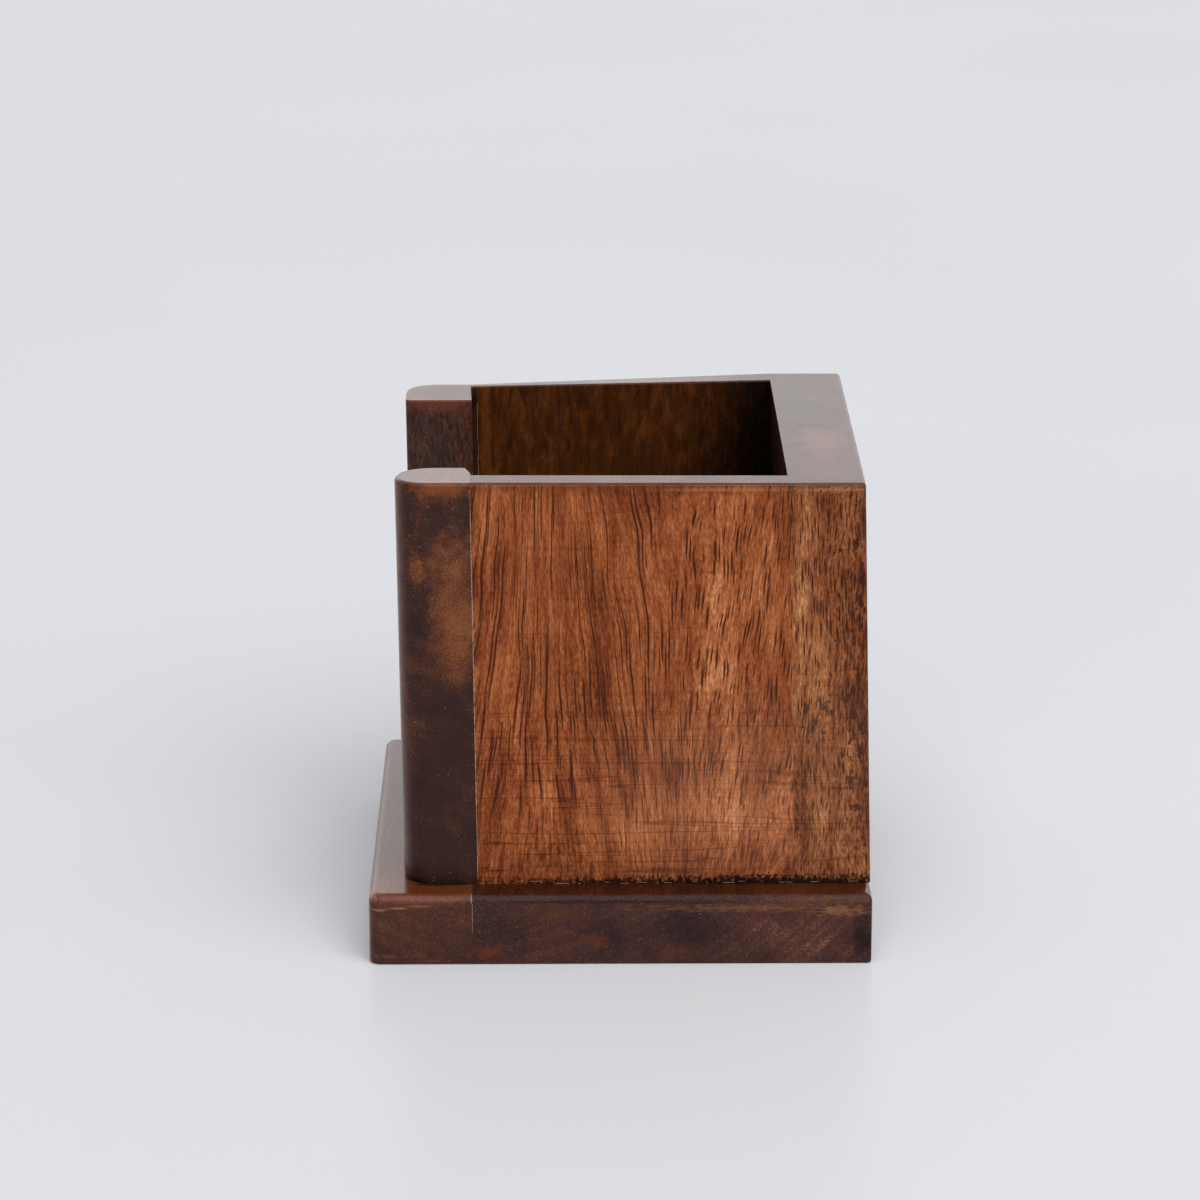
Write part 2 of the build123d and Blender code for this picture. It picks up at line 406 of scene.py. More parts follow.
    def end_colour(self, tree: Tree, place: Socket, vessels: Socket, cell: Socket,
                   shift: Socket | float) -> Socket:
        """Colour the end grain, which drinks the stain: mottled, faintly ringed and pricked with pores.

        Args:
            tree: The material's node tree.
            place: The place in the frame, in millimetres.
            vessels: How much of a vessel shows there.
            cell: The random vector of that vessel.
            shift: What the patches add to the tone.

        Returns:
            The colour of the end grain.
        """
        across, through, _ = self.grain.value
        pith, spread = [0.0, 0.0, 0.0], [0.0, 0.0, 0.0]
        pith[across], pith[through] = self.pith
        spread[across] = spread[through] = 1 / self.ring_spacing
        rings = add_node(tree, "ShaderNodeVectorMath", {0: place, 1: pith}, operation="SUBTRACT")
        rings = add_node(tree, "ShaderNodeVectorMath", {0: rings, 1: spread}, operation="MULTIPLY")
        rings = add_node(tree, "ShaderNodeVectorMath", {0: rings}, out="Value", operation="LENGTH")
        rings = add_node(tree, "ShaderNodeTexNoise", {"W": rings, "Scale": 1.0, "Detail": 3.0},
                         noise_dimensions="1D")
        rings = add_node(tree, "ShaderNodeMath", {0: rings, 1: NOISE_MIDDLE}, operation="SUBTRACT")
        tone = add_node(tree, "ShaderNodeMath", {0: rings, 1: self.ring_weight, 2: shift},
                        operation="MULTIPLY_ADD")
        colour = self.toned(tree, self.layered(tree, place, self.end_streaks, tone), self.end_tones)
        # Pale specks in some pores: dust, and on the base boards painted glints of the lacquer
        dust_and_glints = add_node(tree, "ShaderNodeMath", {0: cell.node.outputs[2], 1: 1 - self.speck_share},
                         operation="GREATER_THAN")
        dust_and_glints = add_node(tree, "ShaderNodeMath", {0: dust_and_glints, 1: vessels}, operation="MULTIPLY")
        dust_and_glints = add_node(tree, "ShaderNodeMath", {0: dust_and_glints, 1: self.speck_strength},
                         operation="MULTIPLY")
        return add_node(tree, "ShaderNodeMix",
                        {0: dust_and_glints, 6: colour, 7: linear_colour(self.speck_colour)},
                        out=2, data_type="RGBA")

    def scratched(self, tree: Tree, place: Socket, shift: Socket | float) -> Socket:
        """Score the wood with a few fine marks across the grain, left by the saw, most of them low down.

        Args:
            tree: The material's node tree.
            place: The place in the frame, in millimetres.
            shift: What the patches add to the tone.

        Returns:
            The shift with the marks in it.
        """
        marks = add_node(tree, "ShaderNodeVectorMath", {0: place, 1: self.scratch_rate},
                         operation="MULTIPLY")
        marks = add_node(tree, "ShaderNodeTexNoise", {"Vector": marks, "Scale": 1.0, "Detail": 1.0})
        marks = add_node(tree, "ShaderNodeMath", {0: marks, 1: NOISE_MIDDLE}, operation="SUBTRACT")
        marks = add_node(tree, "ShaderNodeMath", {0: marks}, operation="ABSOLUTE")
        outer, inner = self.scratch_edge
        marks = add_node(tree, "ShaderNodeMapRange",
                         {"Value": marks, "From Min": outer, "From Max": inner})
        height = add_node(tree, "ShaderNodeSeparateXYZ", {0: place}, out="Z")
        high, low = self.scratch_zone
        share = add_node(tree, "ShaderNodeMapRange",
                         {"Value": height, "From Min": high, "From Max": low,
                          "To Min": self.high_scratches * self.scratches, "To Max": self.scratches})
        marks = add_node(tree, "ShaderNodeMath", {0: marks, 1: share}, operation="MULTIPLY")
        return add_node(tree, "ShaderNodeMath", {0: shift, 1: marks}, operation="SUBTRACT")

    def toned(self, tree: Tree, tone: Socket, codes: tuple[str, ...]) -> Socket:
        """Look a tone up among evenly spaced colours.

        Args:
            tree: The material's node tree.
            tone: Nought for the darkest colour and one for the palest.
            codes: The colours from dark to pale.

        Returns:
            The colour.
        """
        colour = add_node(tree, "ShaderNodeValToRGB", {0: tone})
        stops = colour.node.color_ramp.elements
        last = len(codes) - 1
        for i, code in enumerate(codes):
            stop = stops.new(i / last) if 0 < i < last else stops[0 if i == 0 else len(stops) - 1]
            stop.position = i / last
            stop.color = linear_colour(code)
        return colour

    def end_share(self, tree: Tree) -> Socket:
        """Tell end grain from long grain by how squarely the surface cuts the fibres.

        Args:
            tree: The material's node tree.

        Returns:
            Nought on long grain and one on end grain.
        """
        along = [0.0, 0.0, 0.0]
        along[self.grain.value[2]] = 1.0
        normal = add_node(tree, "ShaderNodeNewGeometry", out="Normal")
        square = add_node(tree, "ShaderNodeVectorMath", {0: normal, 1: along}, out="Value",
                          operation="DOT_PRODUCT")
        square = add_node(tree, "ShaderNodeMath", {0: square}, operation="ABSOLUTE")
        slanted, squarely = self.end_range
        return add_node(tree, "ShaderNodeMapRange",
                        {"Value": square, "From Min": slanted, "From Max": squarely},
                        interpolation_type="SMOOTHSTEP")

    def shreds(self, tree: Tree, place: Socket) -> dict[Pair, Socket]:
        """Make the noises that tear the patches' edges.

        Args:
            tree: The material's node tree.
            place: The place in the frame, in millimetres.

        Returns:
            A noise about nought for each width of shred and how far it is drawn.
        """
        noises = {}
        for width, drawn in sorted({(patch.fray, patch.drawn) for patch in self.patches}):
            torn = add_node(tree, "ShaderNodeVectorMath",
                            {0: place, 1: (1 / width, 1 / width, 1 / (drawn * width))},
                            operation="MULTIPLY")
            torn = add_node(tree, "ShaderNodeTexNoise",
                            {"Vector": torn, "Scale": 1.0, "Detail": 4.0,
                             "Roughness": self.shred_roughness})
            noises[width, drawn] = add_node(tree, "ShaderNodeMath", {0: torn, 1: NOISE_MIDDLE},
                                            operation="SUBTRACT")
        return noises

    def patch_masks(self, tree: Tree, place: Socket
                    ) -> tuple[Socket | float, list[tuple[Socket, str]]]:
        """Find where the board's patches lie.

        Args:
            tree: The material's node tree.
            place: The place in the frame, in millimetres.

        Returns:
            What the patches add to the tone, and a mask and a colour for each one that is laid over.
        """
        shreds = self.shreds(tree, place)
        normal = add_node(tree, "ShaderNodeNewGeometry", out="Normal")
        shift = 0.0
        overlays = []
        for patch in self.patches:
            mask = add_node(tree, "ShaderNodeVectorMath", {0: place, 1: patch.centre},
                            operation="SUBTRACT")
            mask = add_node(tree, "ShaderNodeVectorMath", {0: mask, 1: patch.reach}, operation="DIVIDE")
            mask = add_node(tree, "ShaderNodeVectorMath", {0: mask}, out="Value", operation="LENGTH")
            mask = add_node(tree, "ShaderNodeMath",
                            {0: shreds[patch.fray, patch.drawn], 1: 2 * patch.ragged, 2: mask},
                            operation="MULTIPLY_ADD")
            mask = add_node(tree, "ShaderNodeMapRange",
                            {"Value": mask, "From Min": 1.0, "From Max": patch.core,
                             "To Max": abs(patch.shift)}, interpolation_type="SMOOTHSTEP")
            if patch.facing is not Facing.ANY:
                looks = add_node(tree, "ShaderNodeVectorMath", {0: normal, 1: patch.facing.value},
                                 out="Value", operation="DOT_PRODUCT")
                aside, straight = self.facing_range
                looks = add_node(tree, "ShaderNodeMapRange",
                                 {"Value": looks, "From Min": aside, "From Max": straight})
                mask = add_node(tree, "ShaderNodeMath", {0: mask, 1: looks}, operation="MULTIPLY")
            if patch.colour:
                overlays.append((mask, patch.colour))
            else:
                way = "ADD" if patch.shift > 0 else "SUBTRACT"
                shift = add_node(tree, "ShaderNodeMath", {0: shift, 1: mask}, operation=way)
        return shift, overlays

    def lacquer(self, tree: Tree, shader: bpy.types.Node, place: Socket, fibres: Socket,
                vessels: Socket, ends: Socket) -> None:
        """Set the satin lacquer: smooth over fibres, sunken in open vessels, gritty on end grain.

        Args:
            tree: The material's node tree.
            shader: The material's shader node.
            place: The place in the frame, in millimetres.
            fibres: The place among the fibres.
            vessels: How much of a vessel shows there.
            ends: Where the end grain is, whose pores the lacquer fills.
        """
        smooth, dull = self.roughness
        pores = add_node(tree, "ShaderNodeMath", {0: 1.0, 1: ends}, operation="SUBTRACT")
        pores = add_node(tree, "ShaderNodeMath", {0: pores, 1: vessels}, operation="MULTIPLY")
        pores = add_node(tree, "ShaderNodeMath", {0: pores, 1: self.pore_depth}, operation="MULTIPLY")
        rough = add_node(tree, "ShaderNodeMapRange", {"Value": pores, "To Min": smooth, "To Max": dull})
        tree.links.new(rough, shader.inputs["Roughness"])
        shader.inputs["IOR"].default_value = self.ior
        ripple = add_node(tree, "ShaderNodeVectorMath", {0: fibres, 1: self.ripple_rate},
                          operation="MULTIPLY")
        ripple = add_node(tree, "ShaderNodeTexNoise", {"Vector": ripple, "Scale": 1.0, "Detail": 1.0})
        height = add_node(tree, "ShaderNodeMath", {0: pores, 1: -1.0, 2: ripple},
                          operation="MULTIPLY_ADD")
        if self.grit:
            rise = add_node(tree, "ShaderNodeTexNoise",
                            {"Vector": place, "Scale": 1 / self.grit_size, "Detail": 2.0})
            rise = add_node(tree, "ShaderNodeMath", {0: rise, 1: ends}, operation="MULTIPLY")
            height = add_node(tree, "ShaderNodeMath", {0: rise, 1: self.grit, 2: height},
                              operation="MULTIPLY_ADD")
        bump = add_node(tree, "ShaderNodeBump",
                        {"Height": height, "Strength": self.bump_strength,
                         "Distance": self.groove_depth * MM})
        tree.links.new(bump, shader.inputs["Normal"])


def mottling(fine: float, weight: float) -> tuple[Streaks, ...]:
    """Layer the clouds, the blotches and the fine specks of calm end grain.

    Args:
        fine: The specks' size.
        weight: The specks' weight.

    Returns:
        The layers, each as long as wide.
    """
    return (Streaks(12.0, 12.0, 0.6), Streaks(3.0, 3.0, 0.3), Streaks(fine, fine, weight))


# Tones that boards share, from dark to pale
END_GRAIN = ("2A1610", "40241C", "583226", "704A38", "8C6450")
PANEL_FACE = ("4C1B08", "6C3110", "8A4824", "A86238", "C68658")
SIDEWAYS_FACE = ("4C281A", "583122", "643A28", "72462F", "82543A")

RIGHT_PANEL_WOOD = StainedWood(
    name="stained_hardwood_right_panel", grain=Grain.UPRIGHT, offset=(11.0, 3.0, 40.0),
    face_tones=PANEL_FACE, end_tones=END_GRAIN,
    vessel_colour="361408", low_vessels=0.55, lean=0.11, dive=(0.01, 0.065), low_dive=0.0007,
    scratches=0.26, ior=1.22,
    patches=(
        # The inner face darkened: a darker stain, and painted shade of the well
        Patch((WELL_SIDE, 0.0, 60.0), (50.0, 200.0, 200.0), 0.55, "2A1204", ragged=0.0, core=0.6,
              facing=Facing.LEFT),
        # Pale and dark places
        on_side(21.0, 65.0, 10.0, 30.0, 0.15),
        on_side(20.0, 59.0, 7.0, 8.0, 0.2),
        on_side(25.0, 30.0, 16.0, 10.0, 0.18),
        on_side(-4.0, 26.0, 16.0, 6.0, 0.08),
        on_side(10.0, 39.0, 6.0, 5.0, -0.25),
        on_side(-4.0, 57.0, 9.0, 13.0, -0.12),
        on_side(3.0, 28.0, 34.0, 12.0, 0.08),
        on_side(-22.0, 34.0, 5.0, 13.0, -0.12, ragged=1.0),
        on_side(23.0, 82.0, 12.0, 22.0, 0.14, ragged=1.6, core=0.0, fray=1.1, drawn=6.0),
        # Painted reflection of the pale floor: a pale haze low down
        on_side(23.0, 34.0, 42.0, 32.0, 0.1, "C09478", ragged=0.3, core=0.0),
        # The stained, worn rim
        on_side_edge(0.0, 100.5, 70.0, 4.0, 0.6, "5E2A0A", ragged=0.5, core=0.2),
        on_side_edge(22.0, 98.7, 20.0, 0.6, 0.4, "B07848", ragged=1.6, fray=0.5),
        # Black crust at the foot: partly dark glue, partly painted shade at the joint
        on_side_edge(30.0, 15.0, 34.0, 2.3, 0.95, "0A0706", ragged=1.5, core=0.4, fray=0.7),
        on_side_edge(-2.0, 14.8, 38.0, 2.1, 0.9, "100906", ragged=1.6, core=0.3, fray=0.7),
    ),
)
LEFT_PANEL_WOOD = StainedWood(
    name="stained_hardwood_left_panel", grain=Grain.UPRIGHT, offset=(83.0, 57.0, 190.0),
    face_tones=PANEL_FACE, end_tones=END_GRAIN,
    vessel_colour="361408", lean=0.06, scratches=0.15, ior=1.22,
    patches=(
        # The inner face darkened, a darker stain and painted shade of the well, and its streaks
        in_well(0.0, 60.0, 200.0, 200.0, 0.84, "301707", ragged=0.0, core=0.6),
        in_well(0.0, 75.0, 60.0, 60.0, 0.65, "663712", ragged=1.8, core=0.0, fray=1.3, drawn=4.0),
        in_well(0.0, 80.0, 60.0, 60.0, 0.6, "1C0D04", ragged=1.8, core=0.0, fray=2.2, drawn=2.5),
        # A paler strip, and painted shade in the inner corner by the front joint
        by_well_joint(-28.4, 85.0, 1.6, 40.0, 0.35, "7A4418", ragged=0.5, core=0.3),
        by_well_joint(-30.9, 80.0, 0.9, 60.0, 0.8, "3C2219", ragged=0.4, core=0.6, fray=0.9),
        by_well_joint(-30.8, 96.5, 0.9, 3.0, 0.8, "15110F", core=0.4, fray=0.6),
        # Painted shade: the well's corner by the back board, black where the back board shades it
        in_well(50.0, 20.0, 70.0, 90.0, 0.8, "0A0503", ragged=0.15, core=0.5),
        in_well(42.0, 70.0, 29.0, 110.0, 0.95, "0A0503", ragged=0.15, core=0.4),
    ),
)
BACK_WOOD = StainedWood(
    name="stained_hardwood_back", grain=Grain.UPRIGHT, offset=(140.0, 91.0, 10.0),
    face_tones=("421A08", "663314", "864C2A", "A4683E", "C89666"),
    end_tones=("4A3632", "553E39", "614640", "6E5048", "7C5C50"),
    vessel_colour="301208", low_vessels=0.75, vessel_pitch=0.65, vessel_radius=(0.05, 0.22),
    dive=(0.06, 0.09), scratches=0.2, ior=1.22,
    patches=(
        # The inner face, nearly black: painted shade of the well over a darker stain
        Patch((0.0, 35.0, 60.0), (200.0, 60.0, 200.0), 0.92, "140A05", ragged=0.0, core=0.6,
              facing=Facing.FRONT),
        # Painted sheen: grey and pinkish places on the top, where the lacquer's reflection varies
        Patch((-22.0, 40.0, 100.0), (26.0, 9.0, 2.0), 0.6, "4A4C4A", core=0.2, fray=6.0),
        Patch((14.0, 42.0, 100.0), (16.0, 7.0, 2.0), 0.55, "8A6458", ragged=0.9, fray=6.0),
        Patch((0.0, 49.5, 100.0), (60.0, 2.0, 2.0), 0.4, "403E3C", ragged=0.6, fray=3.0),
        # Streaks and dark clouds on the right end
        on_side(39.0, 80.0, 5.0, 20.0, 0.05),
        on_side(38.5, 83.0, 2.5, 9.0, -0.06),
        on_side(49.5, 91.0, 4.0, 7.0, -0.35, ragged=0.5, core=0.0),
        on_side(48.5, 80.0, 6.0, 7.0, -0.42, ragged=0.5, core=0.0),
        on_side(48.5, 67.0, 6.0, 9.0, -0.3, ragged=0.5, core=0.0),
        on_side(48.0, 54.0, 7.0, 11.0, -0.3, ragged=0.5, core=0.0),
        on_side(50.5, 34.0, 3.0, 14.0, -0.3, ragged=0.5, core=0.0),
        # Crisp dark flecks
        Patch((40.8, 49.5, 60.0), (5.0, 7.0, 60.0), 0.92, "32150D", ragged=2.2, core=0.6, fray=1.6,
              drawn=1.7, facing=Facing.RIGHT),
        Patch((41.2, 40.0, 51.0), (5.0, 6.0, 6.0), 0.8, "32150D", ragged=2.0, core=0.6, fray=1.6,
              drawn=1.7, facing=Facing.RIGHT),
        # The stained, worn rim
        on_side_edge(42.0, 100.5, 30.0, 3.5, 0.5, "5A2A0E", ragged=0.5, core=0.2),
        on_side_edge(43.0, 98.7, 9.0, 0.7, 0.4, "BC9068", ragged=1.8, fray=0.45),
        # Painted floor reflection low down; black crust at the foot, dark glue and painted shade
        on_side(42.0, 38.0, 18.0, 40.0, 0.06, "C09478", ragged=0.3, core=0.0),
        on_side_edge(36.0, 15.0, 34.0, 2.3, 0.95, "0A0706", ragged=1.5, core=0.4, fray=0.7),
    ),
)
FRONT_WOOD = StainedWood(
    name="stained_hardwood_front", grain=Grain.SIDEWAYS, offset=(23.0, 71.0, 15.0),
    face_tones=SIDEWAYS_FACE, end_tones=("140705", "25110C", "341811", "5C3018", "7C4824"),
    vessel_colour="2A120B", vessel_strength=0.15, pore_depth=0.0, grit=2.5,
    end_streaks=mottling(0.4, 0.75),
    patches=(
        # The inner face darkened: a darker stain, and painted shade of the well
        Patch((0.0, -29.0, 60.0), (200.0, 60.0, 200.0), 0.6, "2A1208", ragged=0.0, core=0.6,
              facing=Facing.BACK),
        # Dark and golden places on the right end
        on_side(-36.0, 35.0, 16.0, 32.0, -0.12),
        on_side(-33.5, 76.0, 8.0, 26.0, 0.36, ragged=0.6),
        on_side(-41.2, 81.7, 2.3, 5.5, 0.3, core=0.2),
        # Grey and dark streaks on the far cheek
        on_far_cheek(-38.0, 80.0, 12.0, 30.0, 0.35, "64504A", ragged=1.4, fray=0.6, drawn=3.0),
        on_far_cheek(-38.0, 78.0, 12.0, 28.0, 0.6, "1A0F0C", ragged=1.8, core=0.0, fray=0.8,
                     drawn=3.0),
        # The warm rim; black painted shade at the rounded corner's foot; a dark line along the foot
        on_side(-36.0, 99.0, 11.0, 3.0, 0.6, "8A4A1A", ragged=0.9),
        Patch((43.5, -41.3, 15.1), (5.0, 4.2, 1.7), 0.95, "060403", ragged=0.4, core=0.4, fray=0.9),
        on_side(-35.0, 15.1, 7.0, 1.0, 0.7, "140A04", core=0.3, fray=0.9),
        # The far cheek's reddish rim, and painted shade that darkens its top
        on_far_cheek(-38.0, 98.5, 14.0, 4.5, 0.6, "7A3F2C", ragged=0.6, fray=0.9),
        Patch((-WELL_SIDE, -37.0, 99.0), (9.0, 9.0, 1.5), -0.6, ragged=0.3, core=0.5),
    ),
)
BASE_FRONT_WOOD = StainedWood(
    name="stained_hardwood_base_front", grain=Grain.SIDEWAYS, offset=(310.0, 20.0, 66.0),
    face_tones=SIDEWAYS_FACE, end_tones=("1E0E0A", "321A13", "432318", "5A3222", "805038"),
    # Many pale specks: dust in the pores and painted glints of the lacquer
    vessel_colour="2A120B", vessel_strength=0.15, pore_depth=0.0, speck_share=0.15,
    speck_strength=0.12, pith=(-20.0, 60.0), ring_spacing=2.4, ring_weight=0.3, grit=5.0,
    end_streaks=mottling(0.35, 0.9),
    patches=(
        # The warm rounding
        on_base_end(-41.0, 12.9, 15.0, 0.8, 0.55, "5A2E12", ragged=0.6, core=0.3, fray=2.5,
                    drawn=0.2),
        Patch((52.7, -41.0, 14.2), (1.6, 18.0, 1.4), 0.5, "80402E", core=0.2),
        # Gold lines and pale places
        on_base_end(-49.4, 11.9, 2.4, 0.35, 0.45, "B08458", ragged=0.6, core=0.2, fray=0.8),
        on_base_end(-45.6, 12.3, 3.0, 0.35, 0.4, "B08458", ragged=0.6, core=0.2, fray=0.8),
        on_base_end(-41.2, 12.7, 3.5, 0.3, 0.3, "B08458", ragged=0.7, core=0.2, fray=0.8),
        on_base_end(-47.5, 1.8, 5.5, 0.8, 0.3, ragged=1.2, core=0.0, fray=0.9),
        Patch((52.0, -51.2, 14.3), (2.5, 2.0, 0.9), 0.6, "B08860", ragged=1.4, fray=0.6),
        # Painted shade on the ledge round the front board, black in the joint; glue at the seam
        Patch((49.0, -37.0, 15.0), (6.0, 11.0, 1.3), 0.9, "5A2C08", ragged=0.6, core=0.5, fray=0.9),
        Patch((BOX_SIDE, -37.0, 15.0), (1.2, 7.0, 0.8), 0.9, "0C0603", ragged=0.6, core=0.4,
              fray=0.9),
        Patch((52.3, -30.5, 14.0), (1.6, 0.2, 1.3), 0.4, "B9A58F", ragged=0.3, core=0.4),
    ),
)
BASE_REAR_WOOD = StainedWood(
    name="stained_hardwood_base_rear", grain=Grain.SIDEWAYS, offset=(57.0, 130.0, 7.0),
    face_tones=("220C05", "2E1307", "3E1C0C", "502815", "643824"),
    end_tones=("20110E", "2E1B17", "3E2420", "523028", "865842"),
    # Many pale specks: dust in the pores and painted glints of the lacquer
    vessel_colour="20120E", vessel_strength=0.15, pore_depth=0.0, speck_share=0.3,
    speck_strength=0.12, pith=(-40.0, 90.0), ring_spacing=1.7, ring_weight=0.4, ior=1.23, grit=8.0,
    end_streaks=mottling(0.35, 0.75),
    patches=(
        # Pale wood and golden streaks towards the rear
        on_base_end(36.0, 6.0, 20.0, 10.0, 0.28, ragged=0.4),
        on_base_end(26.0, 12.2, 28.0, 1.1, 0.4, "8C5C38", ragged=1.8, core=0.0, fray=2.2,
                    drawn=0.16),
        on_base_end(45.0, 11.4, 7.0, 1.5, 0.5, "9A6A42", ragged=1.6, core=0.0, fray=2.2, drawn=0.2),
        # Warm brown, blue-black and reddish places
        on_base_end(-13.5, 10.8, 10.0, 2.8, 0.5, "56321C", fray=2.2),
        on_base_end(-14.0, 5.0, 7.0, 5.0, 0.3, "5A2E1A", fray=2.2),
        on_base_end(-26.0, 8.0, 5.0, 5.0, 0.45, "17151A", ragged=1.0, fray=1.1),
        on_base_end(-1.5, 6.5, 3.4, 5.5, 0.45, "17151A", ragged=1.0, fray=1.1),
        on_base_end(13.5, 7.5, 6.5, 5.5, 0.55, "17151A", ragged=1.0, fray=1.1),
        on_base_end(-5.0, 5.0, 4.0, 2.0, 0.5, "6C3016", ragged=1.3, core=0.0, fray=1.1),
        on_base_end(-26.5, 2.6, 4.5, 2.4, 0.6, "6C3016", ragged=1.3, core=0.0, fray=1.1),
        on_base_end(12.0, 2.5, 8.0, 2.4, 0.4, "622E20", ragged=1.3, core=0.0, fray=1.1),
        # A dark line under the rounding, and the black rear corner
        on_base_end(-6.0, 13.6, 28.0, 0.4, 0.75, "140A07", ragged=0.7, core=0.3, fray=2.2,
                    drawn=0.2),
        Patch((BASE_SIDE, 50.0, 5.0), (5.0, 4.0, 4.5), 0.8, "0B0909", ragged=0.6, core=0.2),
        # The rounding, and the ledge: dark glue and painted shade at the panel's foot
        Patch((52.6, 5.0, 14.2), (1.5, 60.0, 1.3), 0.8, "2C120E", core=0.2, fray=1.1),
        Patch((52.8, 40.0, 13.6), (1.6, 16.0, 1.2), 0.45, "6E4022", ragged=1.2, core=0.2, fray=2.2,
              drawn=0.2),
        Patch((48.5, 10.0, 15.0), (4.5, 60.0, 1.0), 0.4, "2A1004", ragged=0.3, core=0.5),
        Patch((49.0, 36.0, 15.0), (4.5, 20.0, 1.0), 0.4, "5A2E0A", ragged=0.5, core=0.2),
    ),
)


@dataclass(frozen=True)
class SpeckledFinish:
    """A plain finish whose two colours mingle in soft specks of a size in millimetres.

    A speck begins and is whole at the two levels of the noise in speck_range.
    """

    name: str
    main: str
    speck: str
    speck_size: float
    roughness: float
    ior: float
    speck_range: Pair = (0.45, 0.7)

    def material(self) -> bpy.types.Material:
        """Make the finish as a Blender material.

        Returns:
            The new material.
        """
        material = bpy.data.materials.new(self.name)
        material.use_nodes = True
        tree = material.node_tree
        shader = tree.nodes["Principled BSDF"]
        coords = add_node(tree, "ShaderNodeTexCoord", out="Object")
        specks = add_node(tree, "ShaderNodeTexNoise",
                          {"Vector": coords, "Scale": 1 / (self.speck_size * MM), "Detail": 2.0})
        begins, whole = self.speck_range
        share = add_node(tree, "ShaderNodeMapRange",
                         {"Value": specks, "From Min": begins, "From Max": whole})
        colour = add_node(tree, "ShaderNodeMix",
                          {0: share, 6: linear_colour(self.main), 7: linear_colour(self.speck)},
                          out=2, data_type="RGBA")
        tree.links.new(colour, shader.inputs["Base Color"])
        shader.inputs["Roughness"].default_value = self.roughness
        shader.inputs["IOR"].default_value = self.ior
        return material


# Turned beech, bare: pale pinkish tan with short darker flecks, for the hidden dowels
TURNED_BEECH = SpeckledFinish("bare_turned_beech", "D2A77C", "A87848", speck_size=0.8,
                              roughness=0.6, ior=1.45)
# White wood glue dried in a joint: a dull, dusty cream that catches the eye as a fine pale line
DRIED_GLUE = SpeckledFinish("dried_wood_glue", "A08A76", "4E3A2E", speck_size=0.7,
                            roughness=0.6, ior=1.4)
# Matt white laminate: an even pale grey with a faint sheen that mirrors the foot of the base
WHITE_LAMINATE = SpeckledFinish("matt_white_laminate", "DEDFE3", "DBDCE0", speck_size=300.0,
                                roughness=0.3, ior=1.1)


def select_only(thing: bpy.types.Object | None) -> None:
    """Leave one thing selected and active, or none.

    Args:
        thing: The object to select.
    """
    for other in bpy.context.selected_objects:
        other.select_set(False)
    if thing is not None:
        thing.select_set(True)
        bpy.context.view_layer.objects.active = thing


@dataclass
class Boards:
    """The six boards and the hidden dowels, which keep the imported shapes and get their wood."""

    woods: tuple[tuple[str, StainedWood], ...] = (
        ("right_side_panel", RIGHT_PANEL_WOOD),
        ("left_side_panel", LEFT_PANEL_WOOD),
        ("back_board", BACK_WOOD),
        ("front_board", FRONT_WOOD),
        ("base_front_board", BASE_FRONT_WOOD),
        ("base_rear_board", BASE_REAR_WOOD),
    )
    dowels: tuple[str, ...] = ("base_joint_dowels", "front_board_dowels", "back_board_dowels",
                               "left_side_dowels", "right_side_dowels")

    def dress(self, nodes: dict[str, bpy.types.Object]) -> None:
        """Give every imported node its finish.

        Args:
            nodes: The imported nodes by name.
        """
        for name, wood in self.woods:
            self.cover(nodes[name], wood.material())
        beech = TURNED_BEECH.material()
        for name in self.dowels:
            self.cover(nodes[name], beech)

    def cover(self, board: bpy.types.Object, material: bpy.types.Material) -> None:
        """Put one material in every slot of a node.

        Args:
            board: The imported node.
            material: Its finish.
        """
        for slot in board.material_slots:
            slot.material = material
        log.info("dressed %s in %s", board.name, material.name)


@dataclass(frozen=True)
class GlueLine:
    """A joint from which glue was squeezed and left: a row of thin beads with gaps, in millimetres.

    A gap below nought lets the next bead overlap the last one. The beads' widths vary by the shares
    in widths, and drift is how far they stray to either side of the joint.
    """

    name: str
    start: Triple
    end: Triple
    out: Facing
    width: float = 0.15
    widths: Pair = (0.6, 1.2)
    proud: float = 0.05
    lengths: Pair = (3.0, 14.0)
    shortest: float = 0.2
    gaps: Pair = (-0.6, 0.5)
    drift: float = 0.02
    seed: int = 1

    def lay(self, bead: bpy.types.Object, material: bpy.types.Material) -> bpy.types.Object:
        """Lay copies of the bead along the joint and join them into one piece.

        Args:
            bead: The modelled bead, one metre in each direction.
            material: The glue's finish.

        Returns:
            The finished piece, at the frame's origin.
        """
        dice = random.Random(self.seed)
        start, end, out = Vector(self.start), Vector(self.end), Vector(self.out.value)
        whole = (end - start).length
        along = (end - start).normalized()
        side = out.cross(along)
        turn = Matrix((along, side, out)).transposed().to_euler()
        beads = []
        run = 0.0
        while run < whole:
            length = min(dice.uniform(*self.lengths), whole - run)
            place = start + along * (run + length / 2) + side * dice.uniform(-self.drift, self.drift)
            copy = bead.copy()
            copy.data = bead.data.copy()
            copy.location = place * MM
            copy.rotation_euler = turn
            width = self.width * dice.uniform(*self.widths)
            copy.scale = Vector((max(length, self.shortest), width, 2 * self.proud)) * MM
            bpy.context.scene.collection.objects.link(copy)
            beads.append(copy)
            run += length + dice.uniform(*self.gaps)
        select_only(beads[0])
        for copy in beads:
            copy.select_set(True)
        bpy.ops.object.join()
        bpy.ops.object.transform_apply(location=True, rotation=True, scale=True)
        piece = bpy.context.object
        piece.name = self.name
        piece.data.name = self.name
        piece.data.materials.clear()
        piece.data.materials.append(material)
        return piece


